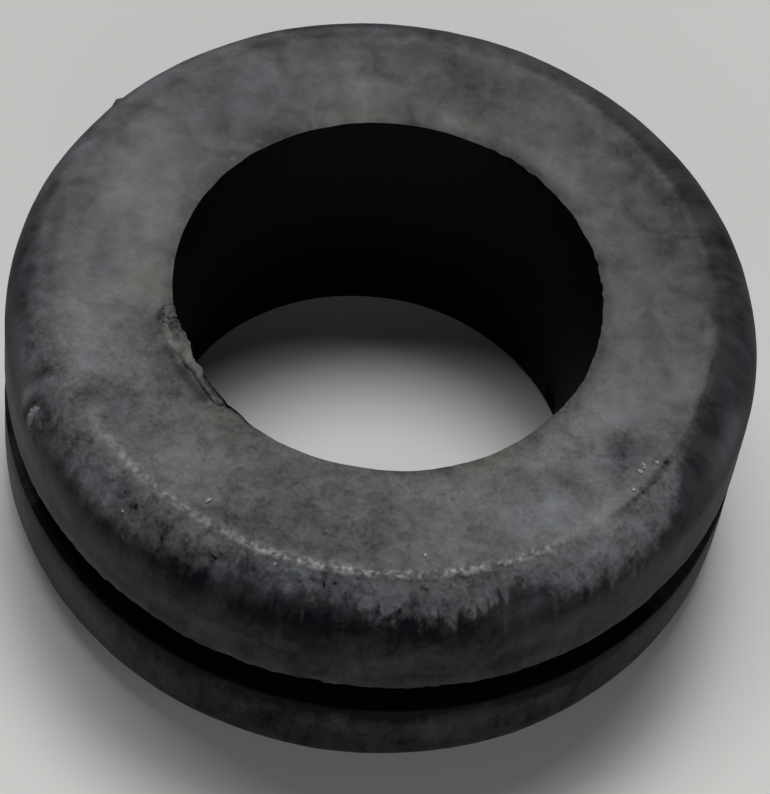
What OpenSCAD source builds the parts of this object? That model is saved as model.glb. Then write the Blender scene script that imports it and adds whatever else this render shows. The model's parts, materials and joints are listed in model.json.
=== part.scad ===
// Rubber grommet: a round bush, moulded in one piece, with a plain bore and a
// groove round its middle. The edge of a round hole in a panel sits in the
// groove, and a cable passes through the bore. The two flanges are the same.
// The axis is Z, and the lower flat face lies on Z = 0.

/* [Bore] */
// Diameter of the plain bore for the cable
bore_d = 12.7; // [6:0.1:15]

/* [Flanges] */
// Outside diameter of both flanges
flange_d = 22.5; // [20:0.5:40]
// Thickness of each flange, from its flat face to the groove
flange_t = 3.75; // [2.5:0.05:8]
// Width of the shoulder, from the flat face's edge out to the rim
shoulder_w = 1.5; // [0.5:0.05:1.65]
// Radius of the shoulder, which runs into the rim smoothly and meets the flat
// face at a slight edge. At the same value as the width, the edge is gone.
shoulder_r = 1.7; // [1.5:0.05:2.2]
// Radius that breaks the flange's edge at the mouth of the groove
lip_r = 0.1; // [0.05:0.05:0.35]

/* [Groove] */
// Width of the groove, which takes the panel's thickness
groove_w = 1.5; // [0.8:0.1:6]
// Diameter of the neck at the bottom of the groove
neck_d = 17.5; // [15.5:0.1:19]
// Radius of the fillet in each corner at the bottom of the groove
root_r = 0.3; // [0.05:0.05:0.35]

/* [Moulding flash] */
// Diameter of the cord-like ridge of flash beside the bore's upper edge
flash_d = 0.4; // [0.3:0.02:0.8]
// Height that the ridge stands above the flat face
flash_h = 0.12; // [0.06:0.01:0.14]
// Land between the bore's edge and the ridge
flash_gap = 0.06; // [0.04:0.01:0.3]
// Direction of the ridge's first end, in degrees round the bore
flash_from = 198; // [0:1:359]
// Angle round the bore that the ridge covers
flash_span = 30; // [12:1:120]
// Number of uneven lumps along the ridge
flash_lumps = 5; // [2:1:12]
// Height that the largest lump stands above the flat face
lump_h = 0.16; // [0.12:0.01:0.2]

/* [Shoulder nub] */
// Diameter of the round nub that stands out of the upper shoulder
nub_d = 0.7; // [0.3:0.05:1.2]
// Height that the nub stands proud of the shoulder
nub_h = 0.1; // [0.02:0.01:0.15]
// Direction of the nub, in degrees round the axis
nub_at = 209; // [0:1:359]
// Slope of the nub on the shoulder: 0 on the rim's top edge, 90 on the flat face
nub_slope = 28; // [10:1:80]

/* [Hidden] */
$fn = 96;

bore_r = bore_d / 2;
flange_r = flange_d / 2;
neck_r = neck_d / 2;
total_h = 2 * flange_t + groove_w;

// Radius of the flat face's outer edge, and the centre of the shoulder's arc
face_r = flange_r - shoulder_w;
shoulder_x = flange_r - shoulder_r;
// Depth of the shoulder below the flat face, down to where the rim is upright
shoulder_h = sqrt(shoulder_r * shoulder_r - pow(shoulder_r - shoulder_w, 2));

// Distance of the ridge's centre line from the axis
flash_line_r = bore_r + flash_gap + flash_d / 2;
// Each lump's height as a share of the largest, which falls off unevenly
function lump_share(i) = 0.8 + 0.2 * cos(i * 137);

// What a fillet of radius r fills in a square corner at the origin
module fillet(r) {
    difference() {
        square(r);
        translate([r, r]) circle(r);
    }
}

// Section of the lower flange: round shoulder below, small lip at the groove
module flange_section() {
    lip_x = flange_r - lip_r;
    lip_z = flange_t - lip_r;
    translate([bore_r, 0]) square([face_r - bore_r, flange_t]);
    intersection() {
        translate([face_r, 0]) square([shoulder_w, shoulder_h]);
        translate([shoulder_x, shoulder_h]) circle(shoulder_r);
    }
    translate([face_r, shoulder_h]) square([shoulder_w, lip_z - shoulder_h]);
    translate([face_r, lip_z]) square([lip_x - face_r, lip_r]);
    translate([lip_x, lip_z]) intersection() {
        square(lip_r);
        circle(lip_r);
    }
}

// Section of half the neck above the lower flange, with its fillet
module neck_section() {
    translate([bore_r, flange_t]) square([neck_r - bore_r, groove_w / 2]);
    translate([neck_r, flange_t]) fillet(root_r);
}

// The lower half, which the upper half mirrors
module half_section() {
    flange_section();
    neck_section();
}

// The whole section turned about the axis
module body() {
    rotate_extrude() {
        half_section();
        translate([0, total_h]) mirror([0, 1]) half_section();
    }
}

// A ball of diameter d on the ridge's centre line, standing h above the flat face
module lump(at, d, h) {
    rotate([0, 0, at]) translate([flash_line_r, 0, total_h + h - d / 2]) sphere(d = d);
}

// The ragged ridge of flash: an arc of round section, with uneven lumps along it
module flash() {
    rotate([0, 0, flash_from]) rotate_extrude(angle = flash_span)
        translate([flash_line_r, total_h + flash_h - flash_d / 2]) circle(d = flash_d);
    step = flash_span / (flash_lumps - 1);
    for (i = [0 : flash_lumps - 1])
        lump(flash_from + i * step, flash_d * 1.15, lump_h * lump_share(i));
}

// A round nub on the upper shoulder, standing square to the surface
module nub() {
    rotate([0, 0, nub_at])
        translate([shoulder_x, 0, total_h - shoulder_h])
            rotate([0, 90 - nub_slope, 0])
                translate([0, 0, shoulder_r + nub_h - nub_d / 2]) sphere(d = nub_d);
}

module grommet() {
    color([0.15, 0.15, 0.155]) {
        body();
        flash();
        nub();
    }
}

grommet();
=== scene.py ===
"""The looks of a rubber grommet: its moulded skin, its weathered finish and the studio that it lies in.

The grommet is one moulding, so it has one skin: a section line in radius and height, carried once round
the axis. The marks that moulding, handling and age left on it are pressed into that surface, and a film of
pale bloom lies over the black rubber. Sizes are in millimetres, and meshes are made in metres.
"""

from __future__ import annotations

import itertools
import json
import logging
import math
from dataclasses import dataclass, field
from enum import Enum

import bpy
import numpy as np
from mathutils import Matrix, Vector


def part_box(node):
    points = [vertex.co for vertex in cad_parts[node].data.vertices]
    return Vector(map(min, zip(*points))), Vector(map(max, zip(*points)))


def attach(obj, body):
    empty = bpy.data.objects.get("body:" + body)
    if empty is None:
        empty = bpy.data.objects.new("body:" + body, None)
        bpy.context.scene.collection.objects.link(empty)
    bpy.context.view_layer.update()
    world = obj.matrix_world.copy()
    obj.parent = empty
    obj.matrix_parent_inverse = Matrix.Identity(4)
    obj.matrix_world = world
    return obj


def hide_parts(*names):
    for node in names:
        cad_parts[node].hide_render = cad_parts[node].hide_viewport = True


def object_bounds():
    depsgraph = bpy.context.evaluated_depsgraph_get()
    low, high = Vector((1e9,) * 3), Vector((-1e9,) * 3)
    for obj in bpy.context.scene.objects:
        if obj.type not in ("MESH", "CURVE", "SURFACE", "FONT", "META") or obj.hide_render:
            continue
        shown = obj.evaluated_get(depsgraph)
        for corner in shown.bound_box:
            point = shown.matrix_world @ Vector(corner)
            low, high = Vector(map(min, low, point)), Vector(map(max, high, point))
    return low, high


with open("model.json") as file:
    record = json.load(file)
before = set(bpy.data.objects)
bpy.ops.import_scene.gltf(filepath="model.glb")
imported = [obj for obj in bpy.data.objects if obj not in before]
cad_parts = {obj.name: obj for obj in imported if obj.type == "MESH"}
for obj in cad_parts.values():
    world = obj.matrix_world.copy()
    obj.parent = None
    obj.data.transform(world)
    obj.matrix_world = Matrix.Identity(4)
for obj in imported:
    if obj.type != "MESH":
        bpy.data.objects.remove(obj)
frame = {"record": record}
CAD_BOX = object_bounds()

MM = 0.001
NODE = "grommet"
BODY = "root"
log = logging.getLogger("grommet")


# ---------------------------------------------------------------- sizes and section


@dataclass(frozen=True)
class GrommetSizes:
    """Sizes of the moulding, in millimetres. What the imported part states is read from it.

    edge_margin and crest_margin are the widths of the stretches of flat face beside the bore and beside the
    crest, where the skin's points lie closer together.
    """

    bore_r: float
    flange_r: float
    height: float
    groove_w: float
    neck_r: float
    shoulder_w: float = 1.5
    shoulder_r: float = 1.7
    lip_r: float = 0.1
    root_r: float = 0.3
    bore_edge_r: float = 0.04
    edge_margin: float = 0.85
    crest_margin: float = 0.25

    @classmethod
    def from_frame(cls) -> GrommetSizes:
        """Reads the flange from the node's box, and the bore and the groove from the part's mounts.

        Returns:
            The sizes that the skin is built to.
        """
        mounts = {mount["name"]: mount for mount in frame["record"]["mounts"]}
        bore = mounts["bore"]["dims"]
        groove = mounts["panel_groove"]["dims"]
        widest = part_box(NODE)[1].x / MM
        return cls(bore["r_mm"], widest, bore["length_mm"], groove["length_mm"], groove["r_mm"])

    @property
    def face_r(self) -> float:
        """Radius of the flat face's outer edge, which is the crest of the shoulder."""
        return self.flange_r - self.shoulder_w

    @property
    def face_w(self) -> float:
        """Width of the flat face, from the bore to the crest."""
        return self.face_r - self.bore_r

    @property
    def flange_t(self) -> float:
        """Thickness of each flange."""
        return (self.height - self.groove_w) / 2

    @property
    def crest_slope(self) -> float:
        """Angle of the shoulder's arc above the rim where it meets the flat face, in radians."""
        return math.acos((self.shoulder_r - self.shoulder_w) / self.shoulder_r)

    @property
    def shoulder_h(self) -> float:
        """Depth of the shoulder below the flat face."""
        return self.shoulder_r * math.sin(self.crest_slope)


@dataclass(frozen=True)
class Detail:
    """How many points each stretch of a half section gets."""

    edge: int
    inner_face: int
    face: int
    crest: int
    shoulder: int
    rim: int
    lip: int
    side: int
    root: int
    neck: int


UPPER_DETAIL = Detail(
    edge=3, inner_face=15, face=14, crest=5, shoulder=20, rim=8, lip=3, side=3, root=3, neck=2)
LOWER_DETAIL = Detail(
    edge=2, inner_face=2, face=5, crest=1, shoulder=10, rim=7, lip=3, side=3, root=3, neck=2)

# Number of points up the bore's wall, and how strongly they crowd towards its upper edge, where 1 is evenly
BORE_POINTS = 12
BORE_CROWDING = 1.6


def line(start: tuple[float, float], end: tuple[float, float], count: int) -> np.ndarray:
    """Evenly spaced points from start towards end, without the end itself.

    Args:
        start: Radius and height of the first point.
        end: Radius and height that the line runs to.
        count: Number of points.

    Returns:
        An array of count rows of radius and height.
    """
    share = np.arange(count)[:, None] / count
    return np.array(start) * (1 - share) + np.array(end) * share


def arc(centre: tuple[float, float], radius: float, start: float, end: float, count: int) -> np.ndarray:
    """Points along an arc: centre + radius * (cosine, sine) of the turning angle, without the end itself.

    Args:
        centre: Radius and height of the arc's centre.
        radius: Radius of the arc.
        start: Angle of the first point, in radians, from the outward direction upwards.
        end: Angle that the arc runs to.
        count: Number of points.

    Returns:
        An array of count rows of radius and height.
    """
    angle = start + (end - start) * np.arange(count) / count
    return np.stack([centre[0] + radius * np.cos(angle), centre[1] + radius * np.sin(angle)], axis=-1)


@dataclass
class Section:
    """The closed section line of the moulding, from the bore's upper edge outwards and back up the bore."""

    sizes: GrommetSizes
    points: np.ndarray = field(init=False)
    normals: np.ndarray = field(init=False)
    along: np.ndarray = field(init=False)

    def __post_init__(self) -> None:
        """Joins the two halves and the bore, and measures the line."""
        sizes = self.sizes
        middle = sizes.height / 2
        upper = self.half(UPPER_DETAIL)
        lower = self.half(LOWER_DETAIL)[::-1] * (1, -1)
        share = np.arange(1, BORE_POINTS + 1) / (BORE_POINTS + 1)
        bore_z = middle - sizes.bore_edge_r
        heights = bore_z * (1 - 2 * (1 - share) ** BORE_CROWDING)
        bore = np.stack([np.full(BORE_POINTS, sizes.bore_r), heights], axis=-1)
        self.points = np.concatenate([upper, lower, bore]) + (0, middle)
        self.normals = self.outward()
        self.along = self.lengths()

    def half(self, detail: Detail) -> np.ndarray:
        """The section above the middle of the groove, from the bore's edge out, over and in to the neck.

        Args:
            detail: Number of points on each stretch.

        Returns:
            Rows of radius and of height above the middle.
        """
        sizes = self.sizes
        top, gap = sizes.height / 2, sizes.groove_w / 2
        quarter = math.pi / 2
        edge_x = sizes.bore_r + sizes.bore_edge_r
        inner_x = sizes.bore_r + sizes.edge_margin
        crest_x = sizes.face_r - sizes.crest_margin
        shoulder_c = (sizes.flange_r - sizes.shoulder_r, top - sizes.shoulder_h)
        lip_c = (sizes.flange_r - sizes.lip_r, gap + sizes.lip_r)
        root_c = (sizes.neck_r + sizes.root_r, gap - sizes.root_r)
        return np.concatenate([
            arc((edge_x, top - sizes.bore_edge_r), sizes.bore_edge_r, 2 * quarter, quarter, detail.edge),
            line((edge_x, top), (inner_x, top), detail.inner_face),
            line((inner_x, top), (crest_x, top), detail.face),
            line((crest_x, top), (sizes.face_r, top), detail.crest),
            arc(shoulder_c, sizes.shoulder_r, sizes.crest_slope, 0, detail.shoulder),
            line((sizes.flange_r, shoulder_c[1]), (sizes.flange_r, lip_c[1]), detail.rim),
            arc(lip_c, sizes.lip_r, 0, -quarter, detail.lip),
            line((lip_c[0], gap), (root_c[0], gap), detail.side),
            arc(root_c, sizes.root_r, quarter, 2 * quarter, detail.root),
            line((sizes.neck_r, root_c[1]), (sizes.neck_r, 0), detail.neck),
        ])

    def outward(self) -> np.ndarray:
        """Outward direction at each point: the way from the point before it to the one after, turned left.

        Returns:
            Rows of radius and height, each of length 1.
        """
        run = np.roll(self.points, -1, axis=0) - np.roll(self.points, 1, axis=0)
        run /= np.linalg.norm(run, axis=1, keepdims=True)
        return np.stack([-run[:, 1], run[:, 0]], axis=-1)

    def spot(self, along: float) -> tuple[np.ndarray, np.ndarray]:
        """Looks up a place on the line outside the bore, by straight steps between its points.

        Args:
            along: Length along the line from the bore's upper edge.

        Returns:
            Radius and height of the place, and the outward direction there.
        """
        outer = self.along >= 0
        length, columns = self.along[outer], (self.points[outer].T, self.normals[outer].T)
        place, normal = (np.array([np.interp(along, length, row) for row in rows]) for rows in columns)
        return place, normal / np.linalg.norm(normal)

    def lengths(self) -> np.ndarray:
        """Length along the line from the bore's upper edge. On the bore's wall it is negative, going down.

        Returns:
            The length at each point.
        """
        steps = np.linalg.norm(np.diff(self.points, axis=0, append=self.points[:1]), axis=1)
        length = np.cumsum(steps) - steps
        on_bore = np.arange(len(length)) >= len(length) - BORE_POINTS
        return np.where(on_bore, length - steps.sum(), length)


# ---------------------------------------------------------------- unevenness

# What the bits of a cell and of a seed are multiplied by, and how far they are shifted, to mix them well
CELL_FACTORS = (73856093, 19349663, 83492791)
SEED_FACTOR = 40503
SEED_START = 977
MIXING_ROUNDS = ((13, 1274126177), (16, 69069))
LOW_31_BITS = 0x7FFFFFFF
LOW_16_BITS = 0xFFFF


def cell_value(cell: np.ndarray, seed: int) -> np.ndarray:
    """A steady value from 0 to 1 for each whole-number cell, by multiplying and mixing its bits.

    Args:
        cell: Whole numbers, three in each row of the last axis.
        seed: Picks one of many such fields.

    Returns:
        One value for each cell.
    """
    mixed = np.bitwise_xor.reduce(cell * CELL_FACTORS, axis=-1) ^ (seed * SEED_FACTOR + SEED_START)
    for shift, factor in MIXING_ROUNDS:
        mixed = (mixed ^ (mixed >> shift)) * factor & LOW_31_BITS
    return (mixed >> 7 & LOW_16_BITS) / LOW_16_BITS


def eased(share: np.ndarray) -> np.ndarray:
    """A share from 0 to 1 that starts and ends gently: 3 times its square - 2 times its cube."""
    return share * share * (3 - 2 * share)


def hill(distance: np.ndarray, reach: np.ndarray | float) -> np.ndarray:
    """A smooth hill that is 1 where the distance is 0: exp(-(distance / reach) squared)."""
    return np.exp(-((distance / reach) ** 2))


def cloud(points: np.ndarray, size: float, seed: int, octaves: int = 2) -> np.ndarray:
    """Cloudy unevenness: values at the corners of a lattice, eased between them, with finer layers added.

    Args:
        points: Places in millimetres, three numbers in the last axis.
        size: Size of the largest clouds.
        seed: Picks one of many such fields.
        octaves: Number of layers, each half as large and half as strong as the one before.

    Returns:
        A value from about -1 to 1 for each place.
    """
    total = np.zeros(points.shape[:-1])
    for octave in range(octaves):
        scaled = points * 2**octave / size
        cell = np.floor(scaled).astype(np.int64)
        ease = eased(scaled - cell)
        for corner in itertools.product((0, 1), repeat=3):
            weight = np.where(np.array(corner) == 1, ease, 1 - ease).prod(axis=-1)
            total += weight * (cell_value(cell + np.array(corner), seed + octave) - 0.5) * 2 / 2**octave
    return total


def turn_gap(angle: np.ndarray, at: float) -> np.ndarray:
    """Angle from a direction, the short way round, from -180 to 180 degrees."""
    return (angle - at + 180) % 360 - 180


@dataclass(frozen=True)
class Sector:
    """A value that is different in one sector round the axis.

    start and end are directions in degrees, and soft is the width of the margin outside each, over which
    the value changes. base is the value away from the sector, and rise what the sector adds to it.
    """

    start: float
    end: float
    soft: float
    rise: float = 1.0
    base: float = 0.0

    def value(self, angle: np.ndarray) -> np.ndarray:
        """The value in each direction: base + rise * the eased share of the margin that is passed.

        Args:
            angle: Directions in degrees.

        Returns:
            One value for each direction.
        """
        before = np.clip((angle - self.start + self.soft) / self.soft, 0, 1)
        after = np.clip((self.end + self.soft - angle) / self.soft, 0, 1)
        return self.base + self.rise * eased(np.minimum(before, after))


# ---------------------------------------------------------------- marks in the surface


@dataclass(frozen=True)
class Lay:
    """Where points lie on the moulding: direction in degrees, length along the section, radius and height.

    The skin's arrays have a row for each point of the section and a column for each direction.
    """

    angle: np.ndarray
    along: np.ndarray
    radius: np.ndarray
    height: np.ndarray

    @property
    def places(self) -> np.ndarray:
        """Place of each point in millimetres: radius turned by the angle, and the height."""
        turn = np.radians(self.angle)
        return np.stack([self.radius * np.cos(turn), self.radius * np.sin(turn), self.height], axis=-1)


@dataclass(frozen=True)
class Mark:
    """A small raised or sunk mark with an oval outline.

    at is its direction round the axis in degrees, and along its length along the section in millimetres.
    across and down are its half sizes round the axis and along the section, and turn leans it, in degrees.
    height is how far it stands proud, or below 0 how deep it is. edge above 1 makes its sides steeper.
    """

    at: float
    along: float
    across: float
    down: float
    height: float
    turn: float = 0
    edge: float = 1

    def lift(self, skin: Lay) -> np.ndarray:
        """How far the mark lifts each point: height * exp(-(oval distance squared) ** edge).

        Args:
            skin: Where the points lie on the moulding.

        Returns:
            The lift of each point, in millimetres.
        """
        round_way = np.radians(turn_gap(skin.angle, self.at)) * skin.radius
        down_way = skin.along - self.along
        lean = math.radians(self.turn)
        u = (round_way * math.cos(lean) + down_way * math.sin(lean)) / self.across
        v = (down_way * math.cos(lean) - round_way * math.sin(lean)) / self.down
        return self.height * np.exp(-((u * u + v * v) ** self.edge))


@dataclass(frozen=True)
class Line:
    """A thin line on the skin, through stops that are a direction in degrees and a length in millimetres.

    width is its half width, and film what it adds to the film of bloom. lift is how far it stands proud, or
    below 0 how deep it is cut.
    """

    stops: tuple[tuple[float, float], ...]
    width: float
    film: float
    lift: float = 0

    def weight(self, skin: Lay) -> np.ndarray:
        """How strongly the line acts at each point: exp(-(distance to its nearest stretch / width) squared).

        Args:
            skin: Where the points lie on the moulding.

        Returns:
            A weight from 0 to 1 for each point.
        """
        first = self.stops[0][0]
        here = np.stack([np.radians(turn_gap(skin.angle, first)) * skin.radius, skin.along], axis=-1)
        stops = [
            np.stack([np.radians(turn - first) * skin.radius, np.full_like(skin.along, along)], axis=-1)
            for turn, along in self.stops
        ]
        nearest = np.full(here.shape[:-1], np.inf)
        for start, end in itertools.pairwise(stops):
            run = end - start
            share = np.clip(((here - start) * run).sum(axis=-1) / (run * run).sum(axis=-1), 0, 1)
            gap = here - start - share[..., None] * run
            nearest = np.minimum(nearest, (gap * gap).sum(axis=-1))
        return np.exp(-nearest / self.width**2)


MARKS = (
    # Hollow after the knob, and the dark nick where the flash ends
    Mark(at=200.9, along=0.16, across=0.12, down=0.1, height=-0.09),
    Mark(at=230.0, along=0.06, across=0.12, down=0.08, height=-0.08),
    # Swelling and pit beside the torn nub on the left shoulder
    Mark(at=206.7, along=4.95, across=0.2, down=0.3, height=0.05),
    Mark(at=212.8, along=5.6, across=0.18, down=0.12, height=-0.05),
    # Pale crumbs pressed into the bore's edge at the back
    Mark(at=133.0, along=0.35, across=0.05, down=0.06, height=0.04),
    Mark(at=142.0, along=0.26, across=0.09, down=0.08, height=0.04),
    # Small nub on the far left shoulder
    Mark(at=145.5, along=4.9, across=0.14, down=0.16, height=0.1, edge=1.3),
)

# Low step beside the flash's second half, where the film is even
STEP = Line(((215, 0.44), (218, 0.43), (222, 0.43), (225, 0.4)), width=0.22, film=-0.33, lift=-0.02)

LINES = (
    STEP,
    # Crack round the knob
    Line(
        ((195.4, 0.0), (195.3, 0.14), (195.6, 0.32), (196.5, 0.43), (198.4, 0.5)),
        width=0.06, film=-0.35, lift=-0.08),
    # Shade along the flash's outer side
    Line(((198.4, 0.56), (202, 0.55), (206, 0.54), (210, 0.5)), width=0.09, film=-0.1),
    Line(((207.5, 0.6), (210, 0.56), (213, 0.5)), width=0.13, film=-0.2, lift=-0.01),
    # Painted shade along the bore's edge between the flash and the bore: the film is taken off to bare black
    # there, and the edge is cut in slightly
    Line(
        ((219.5, -0.04), (222, 0.0), (225, 0.02), (230, 0.05), (234, 0.02), (240, -0.02)),
        width=0.09, film=-0.8, lift=-0.03),
    # Crack beside the torn nub, and the hollow above it
    Line(((208.7, 4.9), (208.3, 5.1), (208.1, 5.4), (208.2, 5.8)), width=0.11, film=-0.24, lift=-0.06),
    Line(((209.4, 4.68), (210.9, 4.68), (212.2, 4.66)), width=0.21, film=-0.18, lift=-0.05),
    # Thin runs below the bloom
    Line(((264.6, 4.9), (264.3, 5.5)), width=0.03, film=0.16),
    Line(((267.7, 5.2), (267.9, 5.8)), width=0.03, film=0.14),
    Line(((294.2, 4.8), (294.7, 5.9)), width=0.035, film=0.12),
    Line(((297.6, 4.8), (298, 5.8)), width=0.03, film=0.12),
    Line(((302.2, 4.5), (302.6, 5.7)), width=0.04, film=0.1),
    # Crease beside the crest: cut in slightly, with painted shade along it, where the film is painted darker
    Line(((317.0, 3.6), (321, 3.6), (327, 3.5), (332, 3.47)), width=0.09, film=-0.42, lift=-0.04),
    Line(((332, 3.47), (337, 3.5), (344, 3.46), (355, 3.42)), width=0.08, film=-0.18, lift=-0.02),
    # Sharp foot of the painted crest highlight: the film is painted darker just below it, as painted shade,
    # and the surface is cut in slightly
    Line(
        ((250, 3.63), (262, 3.65), (275, 3.64), (290, 3.62), (304, 3.6)),
        width=0.06, film=-0.13, lift=-0.015),
)

# Where the flash lies: direction in degrees, then in millimetres its inner and its outer edge, from the
# bore's edge, and the heights of its top there
FLASH_STOPS = (
    (198.2, 0.08, 0.30, 0.03, 0.05), (199.2, 0.0, 0.46, 0.05, 0.12), (201, -0.06, 0.48, 0.06, 0.15),
    (205, -0.12, 0.47, 0.08, 0.155), (208.8, -0.12, 0.46, 0.1, 0.14), (210.8, -0.1, 0.45, 0.125, 0.04),
    (214, -0.09, 0.43, 0.12, -0.03), (218, -0.09, 0.38, 0.12, -0.06), (221, 0.0, 0.36, 0.12, -0.06),
    (224.4, 0.04, 0.37, 0.11, -0.06), (227, 0.07, 0.35, 0.08, -0.06), (229.5, 0.1, 0.28, 0.02, -0.04),
)


def gathered(grid: np.ndarray) -> np.ndarray:
    """Rows of a grid as one list of points, with the first row and the last each drawn together to one."""
    rings = grid[1:-1].reshape((-1,) + grid.shape[2:])
    return np.concatenate([grid[:1].mean(axis=1), rings, grid[-1:].mean(axis=1)])


@dataclass(frozen=True)
class Flash:
    """The thin ragged strip of moulding flash that lies along the bore's upper edge and leans out over it.

    Its first half stands highest on its outer side. Its second half is a low step with a bead on its inner
    side. bead is the share of the width round which the top goes from its inner height to its outer, and
    bead_soft the share that this takes. sunk is how deep it reaches below the face, foot how deep its outer
    edge lies in the face, and face_dip how far the face itself lies below its clean height. fullness below 1
    makes its section fuller than an oval. ragged is how far its sides wander, and rough how uneven its top
    is, less where the top is lower than smooth_below. The film gains pale for each millimetre of top above
    pale_from, within pale_range.
    """

    rings: int = 340
    around: int = 56
    bead: float = 0.55
    bead_soft: float = 0.3
    sunk: float = 0.1
    foot: float = 0.08
    face_dip: float = 0.02
    fullness: float = 0.7
    ragged: float = 0.06
    rough: float = 0.045
    smooth_below: float = 0.05
    pale: float = 4.0
    pale_from: float = 0.08
    pale_range: tuple[float, float] = (-0.16, 0.28)

    def lay(self, sizes: GrommetSizes) -> tuple[Lay, np.ndarray]:
        """Lays the strip out as rings across it, from one end to the other.

        Round each ring an angle runs from a full turn down to 0, so that the faces point outwards. Across =
        inner + width * (1 - cosine) / 2. Height = envelope * top where the sine is above 0, and -envelope *
        sunk where it isn't. Envelope = the sine's size to the power of the fullness, and top goes from the
        inner height to the outer round the bead's share.

        Args:
            sizes: Sizes of the moulding.

        Returns:
            Where the points lie, and what each adds to the film: more on the ridges, less on the step.
        """
        stops = np.array(FLASH_STOPS)
        turn = np.linspace(stops[0, 0], stops[-1, 0], self.rings)[:, None]
        inner, outer, inner_top, outer_top = (np.interp(turn, stops[:, 0], column) for column in stops.T[1:])
        edge = np.concatenate([turn * sizes.bore_r * math.pi / 180, turn * 0, turn * 0], axis=1)[:, None]
        inner = inner + self.ragged * cloud(edge, size=0.3, seed=61, octaves=3)
        outer = outer + self.ragged / 2 * cloud(edge, size=0.4, seed=67, octaves=3)
        round_way = np.linspace(2 * math.pi, 0, self.around, endpoint=False)[None]
        share = (1 - np.cos(round_way)) / 2
        envelope = np.abs(np.sin(round_way)) ** self.fullness
        past = np.clip((share - self.bead) / self.bead_soft + 0.5, 0, 1) ** 2
        top = inner_top * (1 - past) + outer_top * past
        across = inner + (outer - inner) * share
        angle = np.broadcast_to(turn, across.shape)
        place = Lay(angle, across, sizes.bore_r + across, sizes.height + 0 * across)
        unevenness = cloud(place.places, size=0.16, seed=71, octaves=3)
        top = top + self.rough * unevenness * np.minimum(1, top / self.smooth_below)
        height = sizes.height - self.foot * share**2
        height = height + envelope * np.where(np.sin(round_way) > 0, top - self.face_dip, -self.sunk)
        pale = np.clip(self.pale * (top - self.pale_from), *self.pale_range)
        lay = Lay(*(gathered(grid) for grid in (angle, across, place.radius, height)))
        return lay, gathered(pale)


@dataclass(frozen=True)
class Lump:
    """A small rough lump that sits on the skin: an oval dome, sunk by its lower half.

    at, along, across, down, height and turn are those of a mark. pale is what it adds to the film. rough is
    how uneven it is, in clouds whose size is rough_size times its half width. A lump with corners has the
    outline of a flat shape with that many, the first of them at its lower end.
    """

    at: float
    along: float
    across: float
    down: float
    height: float
    turn: float = 0
    pale: float = 0
    rough: float = 0.3
    rough_size: float = 0.6
    corners: int = 0
    rings: int = 23
    around: int = 36

    def lay(self, section: Section) -> Lay:
        """Lays the lump out as rings between two poles on its ends.

        With one angle p from pole to pole and another q round, it is down * cosine p along the section,
        across * sine p * cosine q round the axis and height * sine p * sine q off the skin, each stretched
        by 1 + rough * cloud. With corners, it is also drawn in between them, as the sides of the flat shape
        lie: cosine of half a side's angle / cosine of the angle from the middle of the side.

        Args:
            section: Section of the moulding.

        Returns:
            Where the lump's points lie.
        """
        (radius, height), (normal_r, normal_z) = section.spot(self.along)
        pole = np.linspace(0, math.pi, self.rings)[:, None]
        round_way = np.linspace(0, 2 * math.pi, self.around, endpoint=False)[None]
        unit = np.stack(np.broadcast_arrays(
            np.cos(pole), np.sin(pole) * np.cos(round_way), np.sin(pole) * np.sin(round_way)), axis=-1)
        if self.corners:
            half_side = math.pi / self.corners
            outline = np.arctan2(unit[..., 1], unit[..., 0]) % (2 * half_side) - half_side
            unit = unit * (math.cos(half_side) / np.cos(outline))[..., None]
        place = unit * (self.down, self.across, self.height)
        unevenness = cloud(place + (self.at, self.along, 0), size=self.rough_size * self.across, seed=83)
        place = place * (1 + self.rough * unevenness)[..., None]
        lean = math.radians(self.turn)
        down = place[..., 0] * math.cos(lean) - place[..., 1] * math.sin(lean)
        across = place[..., 0] * math.sin(lean) + place[..., 1] * math.cos(lean)
        proud = place[..., 2]
        return Lay(
            gathered(self.at + np.degrees(across / radius)),
            gathered(self.along + down),
            gathered(radius + down * normal_z + proud * normal_r),
            gathered(height - down * normal_r + proud * normal_z),
        )


# Two lumps of the knob at the flash's first end, then the torn nub's ridge and its body
NUB_LUMPS = (
    Lump(at=197.5, along=0.22, across=0.25, down=0.2, height=0.15, turn=-15, pale=0.2, rough=0.5),
    Lump(at=199.8, along=0.34, across=0.16, down=0.1, height=0.12, turn=10, pale=0.1, rough=0.5),
    Lump(at=210.5, along=5.2, across=0.105, down=0.36, height=0.2, turn=14, pale=0.65, rough=0.3),
    Lump(at=211.7, along=5.12, across=0.4, down=0.4, height=0.09, turn=-12, pale=0.06, rough=0.15, corners=3),
)

# Specks of pale dust
SPECKS = (
    Lump(at=328.7, along=3.01, across=0.06, down=0.08, height=0.05),
    Lump(at=328.2, along=3.08, across=0.04, down=0.05, height=0.04),
    Lump(at=327.1, along=3.07, across=0.05, down=0.08, height=0.05),
    Lump(at=323.4, along=3.32, across=0.06, down=0.06, height=0.04),
    Lump(at=330.6, along=3.26, across=0.05, down=0.06, height=0.03),
    Lump(at=243.2, along=2.85, across=0.055, down=0.1, height=0.05, turn=-25),
    Lump(at=283.2, along=2.88, across=0.05, down=0.06, height=0.04),
    Lump(at=233.0, along=4.62, across=0.03, down=0.05, height=0.03),
    Lump(at=258.5, along=3.8, across=0.03, down=0.04, height=0.03),
)


# ---------------------------------------------------------------- film of bloom


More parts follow.
